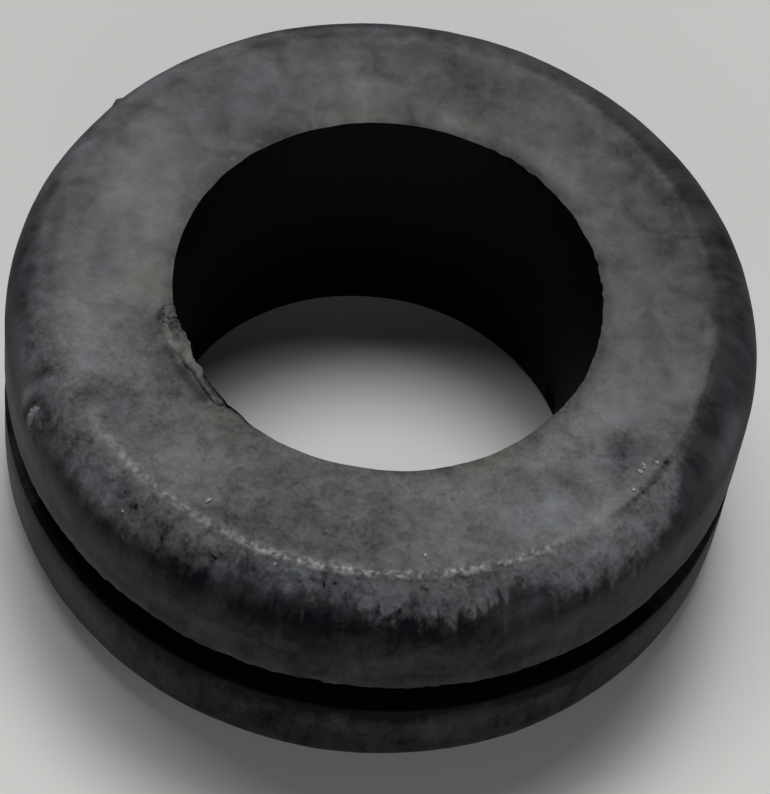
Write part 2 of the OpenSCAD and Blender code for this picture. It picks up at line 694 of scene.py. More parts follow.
@dataclass(frozen=True)
class Patch:
    """A soft patch where the film is thicker or thinner.

    at and along give its middle as a direction in degrees and a length in millimetres. reach is its half
    width in degrees and depth its half length in millimetres. amount is what it adds to the film, and cool
    what it adds to the film's cool tint.
    """

    at: float
    along: float
    reach: float
    depth: float
    amount: float
    cool: float = 0

    def weight(self, skin: Lay) -> np.ndarray:
        """How strongly the patch acts at each point: exp(-(distance in its own half sizes) squared).

        Args:
            skin: Where the points lie on the moulding.

        Returns:
            A weight from 0 to 1 for each point.
        """
        u = turn_gap(skin.angle, self.at) / self.reach
        v = (skin.along - self.along) / self.depth
        return np.exp(-(u * u + v * v))


def patches_from(*rows: tuple[float, ...]) -> tuple[Patch, ...]:
    """Makes patches from rows that each hold at, along, reach, depth, amount and, where it isn't 0, cool."""
    return tuple(Patch(*row) for row in rows)


# Where the bloom runs out on the shoulder: direction in degrees, length along the section, half width of
# the fade there, and how ragged it is
BLOOM_END = (
    (0, 3.4, 0.25, 0.1), (40, 3.42, 0.2, 0.12), (65, 3.6, 0.3, 0.25), (85, 3.85, 0.35, 0.3),
    (105, 4.05, 0.35, 0.2), (125, 4.6, 0.5, 0.15), (150, 4.85, 0.55, 0.16), (163, 4.75, 0.6, 0.16),
    (170, 4.5, 0.6, 0.16), (180, 4.3, 0.5, 0.18), (192, 4.3, 0.55, 0.3), (205, 4.6, 0.7, 0.45),
    (218, 4.8, 0.75, 0.45), (228, 5.1, 0.7, 0.45), (240, 4.75, 0.6, 0.4), (255, 4.3, 0.45, 0.4),
    (268, 4.3, 0.3, 0.45), (276, 4.72, 0.3, 0.7), (286, 4.88, 0.3, 0.9), (292, 4.6, 0.3, 0.9),
    (297, 4.3, 0.3, 0.8), (302, 4.6, 0.35, 0.75), (306, 4.9, 0.4, 0.75), (318, 5.15, 0.45, 0.7),
    (325, 4.8, 0.4, 0.5), (330, 4.1, 0.3, 0.35), (336, 3.58, 0.25, 0.14), (345, 3.4, 0.24, 0.1),
)

FILM_PATCHES = patches_from(
    # Thick on the flat face
    (104, 1.1, 8, 0.8, 0.2, 0.1), (124, 2.6, 7, 0.6, 0.06, 0.3), (155, 2.5, 9, 0.7, 0.24, 0.2),
    (162, 1.5, 12, 0.8, 0.26, 0.1), (186, 1.1, 9, 0.9, 0.3, -0.1), (199, 2.4, 9, 0.85, 0.3, 0.2),
    (235, 2.2, 6, 0.8, 0.24, -0.2), (292, 1.6, 8, 0.9, 0.2), (311, 2.4, 11, 0.9, 0.2, 0.3),
    (321, 1.0, 8, 0.6, 0.3, 0.1), (340, 1.2, 9, 0.7, 0.2, 0.1), (349, 2.8, 4, 0.35, 0.22),
    (4.2, 3.16, 1.1, 0.14, 0.2), (0.3, 3.2, 1.1, 0.1, 0.14), (40, 0.8, 12, 0.25, 0.1),
    # Thin on the flat face
    (120, 1.4, 7, 0.6, -0.2), (140, 0.6, 12, 0.35, -0.18, -0.3), (134, 2.0, 6, 0.5, -0.08, 0.3),
    (172, 2.9, 7, 0.35, -0.1, -0.3), (184, 2.2, 3, 0.4, -0.03, 0.4), (210, 0.9, 12, 0.4, -0.26, -0.4),
    (217, 2.6, 6, 0.5, -0.08, 0.4), (230, 0.7, 10, 0.4, -0.12, -0.3), (258, 2.2, 11, 1.1, -0.16, -0.3),
    (276, 2.3, 8, 0.9, -0.14, -0.4), (328, 2.35, 4.5, 0.45, -0.34, 0.4), (0, 2.6, 6, 0.7, -0.08),
    (18, 2.4, 12, 0.9, -0.24, -0.2), (38, 2.8, 18, 0.7, -0.24), (78, 2.2, 14, 1.2, -0.22),
    (104, 3.1, 15, 0.5, -0.16),
    # Slighter differences all over, and the pale crumbs at the back
    (107, 0.2, 8, 0.35, 0.22), (133, 0.3, 8, 0.35, -0.08), (163, 2.4, 9, 0.5, 0.16),
    (197, 3.0, 6, 0.45, 0.18), (230, 2.8, 8, 0.5, 0.12), (290, 2.8, 7, 0.5, 0.1), (334, 0.9, 8, 0.5, 0.08),
    (32, 3.1, 8, 0.35, -0.18), (46, 1.7, 9, 0.6, -0.08), (346, 0.2, 8, 0.3, -0.16),
    (142, 0.26, 0.8, 0.08, 0.35, -0.6), (133, 0.35, 0.5, 0.06, 0.3, -0.6), (58, 0.15, 10, 0.3, -0.24),
    (304, 0.3, 7, 0.5, 0.2), (278, 0.85, 4, 0.3, 0.12), (14, 0.1, 14, 0.2, -0.12), (78, 0.6, 6, 0.4, 0.22),
    (163, 3.9, 12, 0.45, 0.1), (182, 2.7, 8, 0.35, 0.28), (150, 2.9, 14, 0.35, 0.05),
    (256, 3.0, 8, 0.3, -0.26), (270, 2.9, 7, 0.35, -0.13), (288, 3.05, 10, 0.3, 0.17),
    (168, 2.9, 4, 0.4, 0.08), (192, 1.9, 5, 0.8, 0.08), (204, 3.5, 5, 0.3, 0.1), (210, 2.8, 4, 0.3, 0.1),
    (241, 1.3, 5, 0.8, 0.08), (261, 0.4, 7, 0.25, -0.08), (322, 2.3, 5, 0.6, 0.08), (99, 3.5, 6, 0.3, -0.1),
    (170, 3.85, 5, 0.25, -0.08), (138, 4.0, 4, 0.2, -0.1), (166, 4.8, 5, 0.25, 0.13),
    (204, 5.3, 7, 0.4, 0.08), (228, 5.2, 7, 0.25, 0.09), (236, 4.0, 5, 0.2, 0.09),
    (267.4, 3.92, 1.7, 0.13, 0.14), (286, 4.0, 8, 0.2, 0.08), (319, 4.9, 5, 0.25, 0.1),
    (315, 3.35, 8, 0.3, 0.28), (0, 3.1, 7, 0.25, -0.05), (47, 3.2, 10, 0.4, 0.06), (90, 3.4, 14, 0.4, 0.06),
    # Past the crest
    (168, 4.4, 2.5, 0.25, -0.3), (186, 4.35, 4, 0.3, -0.3), (176.8, 4.05, 1.8, 0.25, 0.14),
    (145, 4.2, 7, 0.5, 0.24), (165, 4.0, 7, 0.4, 0.1), (180, 3.7, 8, 0.35, -0.12), (223, 3.6, 6, 0.3, 0.3),
    (241, 3.5, 5, 0.2, 0.1), (256, 4.2, 6, 0.35, -0.14), (298, 3.75, 5, 0.2, -0.08),
    (300, 4.6, 4, 0.25, 0.12), (315, 3.7, 6, 0.4, 0.1), (335, 3.35, 5, 0.3, -0.16),
    (14, 3.3, 15, 0.35, -0.2), (129, 4.05, 10, 0.4, 0.28), (228, 5.0, 8, 0.4, 0.3),
    (253, 4.3, 6, 0.25, -0.2), (266, 3.95, 9, 0.26, -0.26, 0.4), (282, 4.35, 5, 0.2, -0.1, 0.3),
    (298, 4.2, 4, 0.3, -0.2), (315, 4.2, 8, 0.7, 0.36, 0.2), (327, 4.0, 3, 0.35, 0.1),
    (233, 4.25, 7, 0.3, -0.22),
)

RIM_PATCHES = patches_from(
    # On the shoulder's foot and the upper rim, where the bloom has run out
    (343, 4.95, 7, 0.5, 0.36, 0.2), (342, 5.6, 7, 0.8, 0.1, 0.2), (18, 3.8, 20, 0.3, 0.06),
    (70, 4.0, 24, 0.5, 0.2), (164, 4.75, 8, 0.4, 0.2), (193, 6.1, 9, 0.8, -0.1), (193, 4.8, 5, 0.4, 0.12),
    (199, 7.2, 8, 0.7, 0.32), (205, 5.1, 9, 0.7, 0.34), (209, 7.1, 9, 0.7, 0.32), (224, 7.1, 10, 0.7, 0.14),
    (268, 5.4, 34, 0.75, -0.14), (300, 5.0, 8, 0.4, 0.08), (243, 6.9, 3, 0.5, 0.07),
    (250, 7.3, 2, 0.4, 0.06), (274, 7.0, 4, 0.6, 0.1), (281, 6.8, 2, 0.6, 0.08), (300, 7.6, 3, 0.2, 0.1),
    (330, 6.9, 10, 0.8, 0.08),
    # Blob beside the torn nub
    (206.6, 5.1, 0.95, 0.42, 0.56),
    # On the lower rim
    (201, 15.6, 10, 0.9, 0.5), (225, 15.7, 9, 0.8, 0.2, 0.2), (222, 14.3, 12, 0.3, -0.08),
    (256, 15.2, 7, 0.7, -0.06), (287, 15.2, 7, 0.9, 0.1), (315, 15.0, 6, 0.6, -0.05),
    (330, 15.5, 9, 0.9, 0.11),
)

# How near the bore's wall, its upper edge and the groove's sides a point counts as lying there
WALL_MARGIN = 0.01
EDGE_MARGIN = 0.03
GROOVE_MARGIN = 0.02


@dataclass(frozen=True)
class Tint:
    """The film's tint, from 0 for warm to 1 for cool.

    It is near_bore at the bore, rises by face_rise over the face_width beside it, and rises by
    shoulder_rise over a millimetre from shoulder_start on. patch_share is how much a patch's tint counts.
    """

    near_bore: float = 0.1
    face_rise: float = 0.4
    face_width: float = 1.6
    shoulder_rise: float = 0.25
    shoulder_start: float = 3.4
    patch_share: float = 0.7

    def value(self, skin: Lay) -> np.ndarray:
        """How cool the film is: the sum of both rises and of the patches' tints, held from 0 to 1.

        Args:
            skin: Where the points lie on the moulding.

        Returns:
            The tint at each point.
        """
        tint = self.near_bore + self.face_rise * np.clip(skin.along / self.face_width, 0, 1)
        tint = tint + self.shoulder_rise * np.clip(skin.along - self.shoulder_start, 0, 1)
        for patch in FILM_PATCHES + RIM_PATCHES:
            tint = tint + self.patch_share * patch.cool * patch.weight(skin)
        return np.clip(tint, 0, 1)


@dataclass(frozen=True)
class CrestHighlight:
    """A broken pale line painted along the crest at the front: a painted highlight, where the crest would
    catch the lamps' sheen.

    past is how far past the crest its middle lies, and inner and outer are its half widths on the bore's
    side and on the rim's. reach is the sector that it runs through, and strength how strong it is there.
    """

    past: float = 0.1
    inner: float = 0.15
    outer: float = 0.08
    reach: Sector = Sector(228, 300, 14)
    strength: Sector = Sector(260, 302, 10, rise=0.26, base=0.74)

    def value(self, skin: Lay, sizes: GrommetSizes) -> np.ndarray:
        """Strength of the line: a hill across it, steeper on the rim's side, times its strength and reach.

        Args:
            skin: Where the points lie on the moulding.
            sizes: Sizes of the moulding.

        Returns:
            The strength at each point.
        """
        past = skin.along - sizes.face_w - self.past
        across = hill(past, np.where(past > 0, self.outer, self.inner))
        return across * self.strength.value(skin.angle) * self.reach.value(skin.angle)


@dataclass(frozen=True)
class LipFilmAndHighlight:
    """A broken pale line along the upper flange's lower edge at the front: partly film, and partly a painted
    highlight where the lip catches the front light.

    above is how far above the edge its middle lies, width its half width, and film what it adds to the film
    at most. reach is the sector that it runs through, and strength how strong it is there.
    """

    above: float = 0.16
    width: float = 0.09
    film: float = 0.3
    reach: Sector = Sector(205, 335, 10)
    strength: Sector = Sector(205, 236, 10, rise=0.7, base=0.3)

    def value(self, skin: Lay, sizes: GrommetSizes) -> np.ndarray:
        """What the line adds to the film: a hill up and down the rim, times its strength and reach.

        Args:
            skin: Where the points lie on the moulding.
            sizes: Sizes of the moulding.

        Returns:
            The addition at each point.
        """
        edge = (sizes.height + sizes.groove_w) / 2
        on_rim = skin.radius > sizes.flange_r - GROOVE_MARGIN
        across = hill(skin.height - edge - self.above, self.width) * on_rim
        return self.film * across * self.reach.value(skin.angle) * self.strength.value(skin.angle)


@dataclass(frozen=True)
class Film:
    """The pale film of bloom: how thick it lies at each point of the skin, with painted light and shade in
    it.
    """

    # Thickness on the flat face, the shoulder, the upper rim, the lower rim, and beside the groove there
    face: float = 0.57
    shoulder: float = 0.44
    wall: float = 0.12
    lower: float = 0.11
    mouth: float = -0.1
    # Widths over which it goes from the face's to the shoulder's, and from the groove's to the lower rim's
    crest_soft: float = 0.2
    mouth_soft: float = 0.9
    # How much thinner it is worn at the bore's edge, and over what width
    worn_edge: float = 0.16
    worn_width: float = 0.35
    # What stands for no film, and painted light in two sectors of the groove: pale film painted inside it,
    # where light reaches in from the side
    none: float = -1.0
    groove_light_level: float = 0.1
    painted_groove_light: tuple[Sector, ...] = (Sector(326, 346, 10), Sector(188, 210, 8))
    # Where the bloom runs out on the underside, half the width of its fade there, and the most a fade counts
    under_end: float = 3.75
    under_soft: float = 0.3
    fade_most: float = 9.0
    # How strongly the finest grain shows, what the shoulder adds to that at the front, and where it starts
    grit: Sector = Sector(205, 325, 25, rise=0.57, base=0.38)
    shoulder_grit: Sector = Sector(205, 325, 25, rise=0.3)
    shoulder_grit_from: float = 3.6
    # How strongly the clouds show, and how much of both the step beside the flash loses
    mottling: Sector = Sector(205, 320, 20, rise=0.16, base=0.84)
    step_evenness: float = 0.8
    tint: Tint = Tint()
    crest_highlight: CrestHighlight = CrestHighlight()
    lip_film_and_highlight: LipFilmAndHighlight = LipFilmAndHighlight()

    def in_groove(self, skin: Lay, sizes: GrommetSizes) -> np.ndarray:
        """True inside the groove."""
        between_sides = np.abs(skin.height - sizes.height / 2) < sizes.groove_w / 2 + GROOVE_MARGIN
        return between_sides & (skin.radius < sizes.flange_r - GROOVE_MARGIN)

    def hidden(self, skin: Lay, sizes: GrommetSizes) -> np.ndarray:
        """True on the bore's wall and inside the groove, where there is no bloom."""
        in_bore = (skin.radius < sizes.bore_r + WALL_MARGIN) & (skin.height < sizes.height - EDGE_MARGIN)
        return in_bore | self.in_groove(skin, sizes)

    def with_marks(self, level: np.ndarray, patches: tuple[Patch, ...], skin: Lay) -> np.ndarray:
        """Adds to a level of film what the patches and the lines add.

        Args:
            level: Thickness at each point.
            patches: The patches.
            skin: Where the points lie on the moulding.

        Returns:
            The thickness with the patches and the lines.
        """
        for patch in patches:
            level = level + patch.amount * patch.weight(skin)
        for mark in LINES:
            level = level + mark.film * mark.weight(skin)
        return level

    def bloom(self, skin: Lay, sizes: GrommetSizes) -> np.ndarray:
        """Thickness of the bloom on the upper face and as far as it runs down the shoulder.

        Args:
            skin: Where the points lie on the moulding.
            sizes: Sizes of the moulding.

        Returns:
            The thickness at each point, from 0 for bare rubber to 1, and below 0 where none can be.
        """
        past_crest = np.clip((skin.along - sizes.face_w) / self.crest_soft, 0, 1)
        level = self.face + (self.shoulder - self.face) * past_crest
        level = level - self.worn_edge * hill(skin.along, self.worn_width)
        return np.where(self.hidden(skin, sizes), self.none, self.with_marks(level, FILM_PATCHES, skin))

    def rim(self, skin: Lay, sizes: GrommetSizes) -> np.ndarray:
        """Thickness of the thin film past the bloom: on the rims, and less on the lower rim at the groove.

        Args:
            skin: Where the points lie on the moulding.
            sizes: Sizes of the moulding.

        Returns:
            The thickness at each point, from 0 for bare rubber to 1, and below 0 where none can be.
        """
        below_groove = np.clip((sizes.flange_t - skin.height) / self.mouth_soft, 0, 1)
        lower = self.mouth + (self.lower - self.mouth) * below_groove
        level = np.where(skin.height < sizes.height / 2, lower, self.wall)
        # Painted light inside the groove, in the two sectors where light reaches in from the side
        painted_groove_light = self.in_groove(skin, sizes) * sum(sector.value(skin.angle) for sector in self.painted_groove_light)
        hidden_level_with_groove_light = self.none + (self.groove_light_level - self.none) * painted_groove_light
        return np.where(self.hidden(skin, sizes), hidden_level_with_groove_light, self.with_marks(level, RIM_PATCHES, skin))

    def under_fade(self, skin: Lay, sizes: GrommetSizes) -> np.ndarray:
        """The fade of the bloom on the underside, which runs out where the lower shoulder starts.

        Its length is the width of flat face from the bore, and past the face the straight distance from
        the face's edge.

        Args:
            skin: Where the points lie on the moulding.
            sizes: Sizes of the moulding.

        Returns:
            The length from each point to where the bloom runs out, over the half width of the fade.
        """
        past_face = np.hypot(np.maximum(skin.radius - sizes.face_r, 0), skin.height)
        reach = np.minimum(skin.radius, sizes.face_r) - sizes.bore_r + past_face
        fade = (self.under_end - reach) / self.under_soft
        return np.where(skin.height < sizes.flange_t, fade, -self.fade_most)

    def layers(self, skin: Lay, sizes: GrommetSizes, pale: np.ndarray | float = 0.0) -> dict[str, np.ndarray]:
        """Everything that the finish reads from the skin.

        The fade is the length from each point down to where the bloom runs out, over the half width of the
        fade. The grit is how strongly the finest grain shows, and the mottling how strongly the clouds do:
        both most at the front, and the grit most on the shoulder.

        Args:
            skin: Where the points lie on the moulding.
            sizes: Sizes of the moulding.
            pale: What is added to the film at each point.

        Returns:
            One value for each point under each name.
        """
        stops = np.array(BLOOM_END, float)
        end, soft, ragged = (np.interp(skin.angle, stops[:, 0], column, period=360) for column in stops.T[1:])
        fade = np.maximum((end - skin.along) / soft, self.under_fade(skin, sizes))
        uneven = 1 - self.step_evenness * STEP.weight(skin)
        on_shoulder = skin.along > self.shoulder_grit_from
        grit = self.grit.value(skin.angle) + on_shoulder * self.shoulder_grit.value(skin.angle)
        return {
            "bloom": self.bloom(skin, sizes) + pale,
            # The rim's film carries the pale lip line, partly a painted highlight
            "rim": self.rim(skin, sizes) + self.lip_film_and_highlight.value(skin, sizes) + pale,
            "fade": np.clip(fade, -self.fade_most, self.fade_most),
            "ragged": ragged / soft,
            "grit": uneven * grit,
            "mottling": uneven * self.mottling.value(skin.angle),
            "cool": self.tint.value(skin),
            # Painted highlight along the crest at the front
            "beads": self.crest_highlight.value(skin, sizes),
        }


# ---------------------------------------------------------------- materials


class Ease(Enum):
    """How a value runs between two stops."""

    LINEAR = "LINEAR"
    SMOOTH = "SMOOTHSTEP"


@dataclass(frozen=True)
class Clouds:
    """Cloudy noise in a finish.

    size is that of its largest clouds in millimetres, detail the number of finer layers, rough the strength
    of each against the one before, and warp how far the clouds are pulled out of shape. squeeze is what the
    third coordinate is multiplied by first, which below 1 draws the clouds out that way. spread is the
    range that is carried over to 0 and 1, if any.
    """

    size: float
    detail: float = 2
    rough: float = 0.5
    warp: float = 0
    squeeze: float = 1
    spread: tuple[float, float] | None = None


class NodeSheet:
    """A material's node tree, with short ways to add the nodes that the finishes need."""

    def __init__(self, name: str) -> None:
        """Makes a material that holds only its surface shader and its output.

        Args:
            name: Name of the material.
        """
        self.material = bpy.data.materials.new(name)
        self.material.use_nodes = True
        self.tree = self.material.node_tree
        self.tree.nodes.clear()
        self.shader = self.tree.nodes.new("ShaderNodeBsdfPrincipled")
        output = self.tree.nodes.new("ShaderNodeOutputMaterial")
        self.tree.links.new(self.shader.outputs[0], output.inputs["Surface"])

    def feed(self, socket: bpy.types.NodeSocket, value: object) -> None:
        """Sets a socket to a number or colour, or links it where the value is another node's output.

        Args:
            socket: The socket.
            value: A number, a colour, or the output of another node.
        """
        if isinstance(value, bpy.types.NodeSocket):
            self.tree.links.new(value, socket)
        else:
            socket.default_value = value

    def places(self) -> bpy.types.NodeSocket:
        """Place on the object, in millimetres."""
        coordinates = self.tree.nodes.new("ShaderNodeTexCoord")
        return self.stretched(coordinates.outputs["Object"], (1 / MM, 1 / MM, 1 / MM))

    def stretched(
        self, vector: bpy.types.NodeSocket, scale: tuple[float, float, float]
    ) -> bpy.types.NodeSocket:
        """Multiplies each number of a vector by that of the scale.

        Args:
            vector: The vector.
            scale: Three factors.

        Returns:
            The stretched vector.
        """
        node = self.tree.nodes.new("ShaderNodeMapping")
        self.feed(node.inputs["Vector"], vector)
        node.inputs["Scale"].default_value = scale
        return node.outputs["Vector"]

    def attribute(self, name: str, vector: bool = False) -> bpy.types.NodeSocket:
        """Reads what a piece's points carry.

        Args:
            name: Name that it is stored under.
            vector: True where it is a vector, and not one number.

        Returns:
            The value or the vector.
        """
        node = self.tree.nodes.new("ShaderNodeAttribute")
        node.attribute_name = name
        return node.outputs["Vector" if vector else "Fac"]

    def noise(self, vector: bpy.types.NodeSocket, clouds: Clouds) -> bpy.types.NodeSocket:
        """Cloudy noise from 0 to 1.

        Args:
            vector: Where on the piece, in millimetres.
            clouds: What the noise is like.

        Returns:
            The noise's value.
        """
        if clouds.squeeze != 1:
            vector = self.stretched(vector, (1, 1, clouds.squeeze))
        node = self.tree.nodes.new("ShaderNodeTexNoise")
        self.feed(node.inputs["Vector"], vector)
        node.inputs["Scale"].default_value = 1 / clouds.size
        node.inputs["Detail"].default_value = clouds.detail
        node.inputs["Roughness"].default_value = clouds.rough
        node.inputs["Distortion"].default_value = clouds.warp
        if clouds.spread is None:
            return node.outputs[0]
        return self.spread(node.outputs[0], *clouds.spread)

    def maths(
        self, operation: str, first: object, second: object = 0.0, third: object = 0.0
    ) -> bpy.types.NodeSocket:
        """Works out one sum on two or three values.

        Args:
            operation: Name of the sum, such as ADD.
            first: A number or the output of another node.
            second: The same.
            third: The same, for the sums that take three.

        Returns:
            The result.
        """
        node = self.tree.nodes.new("ShaderNodeMath")
        node.operation = operation
        for socket, value in zip(node.inputs, (first, second, third)):
            self.feed(socket, value)
        return node.outputs[0]

    def offset(
        self, value: bpy.types.NodeSocket | None, *layers: tuple[bpy.types.NodeSocket, float]
    ) -> bpy.types.NodeSocket:
        """The value, raised and lowered by layers of noise.

        Args:
            value: The value to start from, or None for 0.
            layers: Noise from 0 to 1 with the strength that it acts with, once for each layer.

        Returns:
            value + the sum of strength * (noise - 0.5).
        """
        total = value if value is not None else 0.0
        for noise, strength in layers:
            total = self.maths("MULTIPLY_ADD", noise, strength, total)
        return self.maths("SUBTRACT", total, sum(strength for _, strength in layers) / 2)

    def spread(
        self, value: bpy.types.NodeSocket, low: float, high: float, to_low: float = 0.0,
        to_high: float = 1.0, ease: Ease = Ease.SMOOTH
    ) -> bpy.types.NodeSocket:
        """Carries a value from one range to another and holds it there.

        Args:
            value: The value to carry over.
            low: Value that becomes to_low.
            high: Value that becomes to_high.
            to_low: Result at the low end.
            to_high: Result at the high end.
            ease: How the value runs between the two.

        Returns:
            The value in its new range.
        """
        node = self.tree.nodes.new("ShaderNodeMapRange")
        node.interpolation_type = ease.value
        for socket, setting in zip(node.inputs, (value, low, high, to_low, to_high)):
            self.feed(socket, setting)
        return node.outputs[0]

    def blend(self, share: object, first: object, second: object) -> bpy.types.NodeSocket:
        """Blends two colours.

        Args:
            share: Share of the second colour, from 0 to 1.
            first: A colour or the output of another node.
            second: The same.

        Returns:
            The colour between the two.
        """
        node = self.tree.nodes.new("ShaderNodeMix")
        node.data_type = "RGBA"
        for index, value in ((0, share), (6, first), (7, second)):
            self.feed(node.inputs[index], value)
        return node.outputs[2]

    def bump(self, height: bpy.types.NodeSocket, depth: float, below: object = None) -> bpy.types.NodeSocket:
        """A surface direction tilted by a height.

        Args:
            height: Height from 0 to 1.
            depth: What a height of 1 stands for, in millimetres.
            below: The direction that this one is laid over, if any.

        Returns:
            The tilted direction.
        """
        node = self.tree.nodes.new("ShaderNodeBump")
        node.inputs["Distance"].default_value = depth * MM
        self.feed(node.inputs["Height"], height)
        if below is not None:
            self.feed(node.inputs["Normal"], below)
        return node.outputs[0]


Colour = tuple[float, float, float, float]


@dataclass(frozen=True)
class RubberFinish:
    """Black moulded rubber under a worn film of pale bloom, which also carries painted highlights and shade.
    """

    bare: Colour = (0.0028, 0.0026, 0.005, 1)
    violet_film: Colour = (0.156, 0.150, 0.172, 1)
    cyan_film: Colour = (0.144, 0.157, 0.167, 1)
    warm_film: Colour = (0.161, 0.156, 0.144, 1)
    worn_film: Colour = (0.33, 0.325, 0.315, 1)
    bare_roughness: float = 0.5
    film_roughness: float = 0.66
    refraction: float = 1.4
    sheen_level: float = 0.07
    # Unevenness of the film from its broad clouds to its finest grain, then its pale flecks and dark pits
    clouds: Clouds = Clouds(2.4, warp=0.5)
    mottle: Clouds = Clouds(0.9, warp=0.6)
    spots: Clouds = Clouds(0.36, rough=0.6, warp=0.4, spread=(0.3, 0.7))
    grain: Clouds = Clouds(0.13, rough=0.6, spread=(0.3, 0.7))
    flecks: Clouds = Clouds(0.2, detail=1, spread=(0.6, 0.75))
    pits: Clouds = Clouds(0.26, detail=1, warp=0.5, spread=(0.4, 0.26))
    # Streaks down the shoulder, where the bloom ends in drips and threads, and down the rims
    drips: Clouds = Clouds(0.3, detail=1, squeeze=0.22, spread=(0.3, 0.7))
    threads: Clouds = Clouds(0.16, detail=1, squeeze=0.16, spread=(0.3, 0.7))
    runs: Clouds = Clouds(0.55, warp=0.4, squeeze=0.3, spread=(0.3, 0.7))
    # Breaks in the painted highlight along the crest, changes of hue, and the fine relief of the surface
    beads: Clouds = Clouds(0.18, rough=0.6)
    hue: Clouds = Clouds(0.5, detail=3, rough=0.7, warp=0.6, spread=(0.35, 0.65))
    relief: Clouds = Clouds(0.09, detail=3, rough=0.6)
    relief_depth: float = 0.004
    # Range of noise that becomes the beads of the painted crest highlight, and how strong the faintest and
    # the full ones are
    bead_range: tuple[float, float] = (0.38, 0.64)
    bead_strengths: tuple[float, float] = (0.05, 1.0)
    # Share of the fine grain that shows past the bloom
    rim_grain: float = 0.2
    # Ranges over which the tint goes from warm to cool, and the level from plain film to worn film
    tint_range: tuple[float, float] = (0.1, 0.9)
    worn_range: tuple[float, float] = (1.0, 1.6)
    # Cover from which the surface is as dull as film
    dull_from: float = 0.6

    def film_level(
        self, sheet: NodeSheet, place: bpy.types.NodeSocket, clouds: bpy.types.NodeSocket,
        mottle: bpy.types.NodeSocket, spots: bpy.types.NodeSocket
    ) -> bpy.types.NodeSocket:
        """Works out how thick the film looks.

        It is the film's thickness on the skin plus clouds at several sizes, pale flecks and dark pits. Where
        the bloom runs out, its edge is pushed up and down by streaks and spots, so that it ends in drips.

        Args:
            sheet: The material's node tree.
            place: Where on the piece, in millimetres.
            clouds: The broad clouds.
            mottle: The mottling.
            spots: The spots.

        Returns:
            The level, from 0 for bare rubber to 1 for film, and above 1 for worn film.
        """
        flow = sheet.attribute("flow", vector=True)
        grain = sheet.noise(place, self.grain)
        flecks = sheet.noise(place, self.flecks)
        pits = sheet.noise(place, self.pits)
        drips = sheet.noise(flow, self.drips)
        threads = sheet.noise(flow, self.threads)
        runs = sheet.noise(flow, self.runs)

        fine = sheet.offset(None, (spots, 0.18), (grain, 0.15), (flecks, 0.09), (pits, -0.12))
        fine = sheet.maths("MULTIPLY", fine, sheet.attribute("grit"))
        push = sheet.offset(None, (drips, 0.6), (threads, 0.3), (spots, 0.3), (mottle, 0.7), (grain, 0.1))
        push = sheet.maths("MULTIPLY", push, sheet.attribute("ragged"))
        inside = sheet.spread(sheet.maths("ADD", sheet.attribute("fade"), push), -1, 1)
        uneven = sheet.offset(None, (clouds, 0.6), (mottle, 0.8))
        bloom = sheet.maths("MULTIPLY_ADD", uneven, sheet.attribute("mottling"), sheet.attribute("bloom"))
        bloom = sheet.maths("ADD", bloom, fine)
        # Painted highlight: beads of paler film along the crest at the front, where the lamps' sheen would
        # fall
        beads = sheet.offset(sheet.noise(place, self.beads), (mottle, 0.3))
        beads = sheet.spread(beads, *self.bead_range, *self.bead_strengths)
        bloom = sheet.maths("MULTIPLY_ADD", beads, sheet.attribute("beads"), bloom)
        rim = sheet.attribute("rim")
        rim = sheet.offset(rim, (clouds, 0.26), (runs, 0.07), (threads, 0.03), (mottle, 0.22))
        rim = sheet.maths("MULTIPLY_ADD", fine, self.rim_grain, rim)
        return sheet.maths("MULTIPLY_ADD", inside, sheet.maths("SUBTRACT", bloom, rim), rim)

    def film_colour(
        self, sheet: NodeSheet, place: bpy.types.NodeSocket, clouds: bpy.types.NodeSocket,
        mottle: bpy.types.NodeSocket, level: bpy.types.NodeSocket
    ) -> bpy.types.NodeSocket:
        """Works out the film's colour: warm or cool by its tint, cool in two hues, and pale where it is worn.

        Args:
            sheet: The material's node tree.
            place: Where on the piece, in millimetres.
            clouds: The broad clouds.
            mottle: The mottling.
            level: How thick the film looks.

        Returns:
            The colour.
        """
        tint = sheet.offset(sheet.attribute("cool"), (clouds, 0.6), (mottle, 0.6))
        tint = sheet.spread(tint, *self.tint_range, ease=Ease.LINEAR)
        cool = sheet.blend(sheet.noise(place, self.hue), self.violet_film, self.cyan_film)
        film = sheet.blend(tint, self.warm_film, cool)
        return sheet.blend(sheet.spread(level, *self.worn_range), film, self.worn_film)

    def material(self) -> bpy.types.Material:
        """Builds the finish, whose colour goes from bare rubber to film as the film's level does.

        Returns:
            The material, which reads the attributes that the skin carries.
        """
        sheet = NodeSheet("weathered_rubber")
        place = sheet.places()
        clouds = sheet.noise(place, self.clouds)
        mottle = sheet.noise(place, self.mottle)
        spots = sheet.noise(place, self.spots)
        level = self.film_level(sheet, place, clouds, mottle, spots)
        cover = sheet.spread(level, 0.0, 1.0, ease=Ease.LINEAR)
        film = self.film_colour(sheet, place, clouds, mottle, level)
        sheet.feed(sheet.shader.inputs["Base Color"], sheet.blend(cover, self.bare, film))
        rough = sheet.spread(
            cover, 0.0, self.dull_from, self.bare_roughness, self.film_roughness, Ease.LINEAR)
        sheet.feed(sheet.shader.inputs["Roughness"], rough)
        sheet.shader.inputs["IOR"].default_value = self.refraction
        sheet.shader.inputs["Specular IOR Level"].default_value = self.sheen_level
        relief = sheet.bump(sheet.noise(place, self.relief), self.relief_depth)
        sheet.feed(sheet.shader.inputs["Normal"], sheet.bump(spots, self.relief_depth, relief))
        return sheet.material


